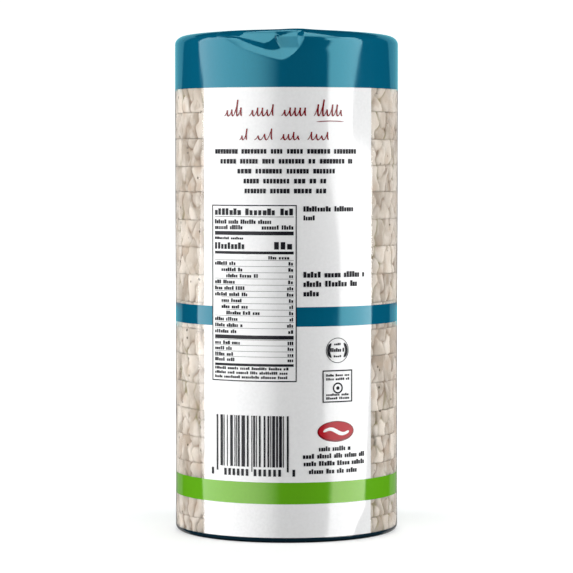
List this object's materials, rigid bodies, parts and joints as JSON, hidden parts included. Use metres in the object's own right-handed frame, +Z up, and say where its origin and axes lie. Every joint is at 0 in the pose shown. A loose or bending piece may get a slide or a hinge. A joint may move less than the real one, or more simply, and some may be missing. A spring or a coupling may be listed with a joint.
{
  "type": "pack of puffed rice cakes",
  "caption": "Upright cylindrical film pack of puffed rice cakes with clear side windows, colour bands, a white label panel and folded sealed ends.",
  "frame": {"origin": "centre of the base, at the height of the surface that the pack stands on", "axes": "+Z up along the pack, -Y out of the label panel that the picture shows, +X to its right"},
  "size_m": [0.09, 0.09, 0.2009],
  "materials": {
    "sleeve": "glossy printed film",
    "clear_film": "clear glossy film, thin and colourless",
    "print": "flat ink under gloss film",
    "rice_cake": "dry puffed grain, matt, cream with browner creases"
  },
  "bodies": {
    "root": {"pack": "sleeve"}
  },
  "joints": []
}
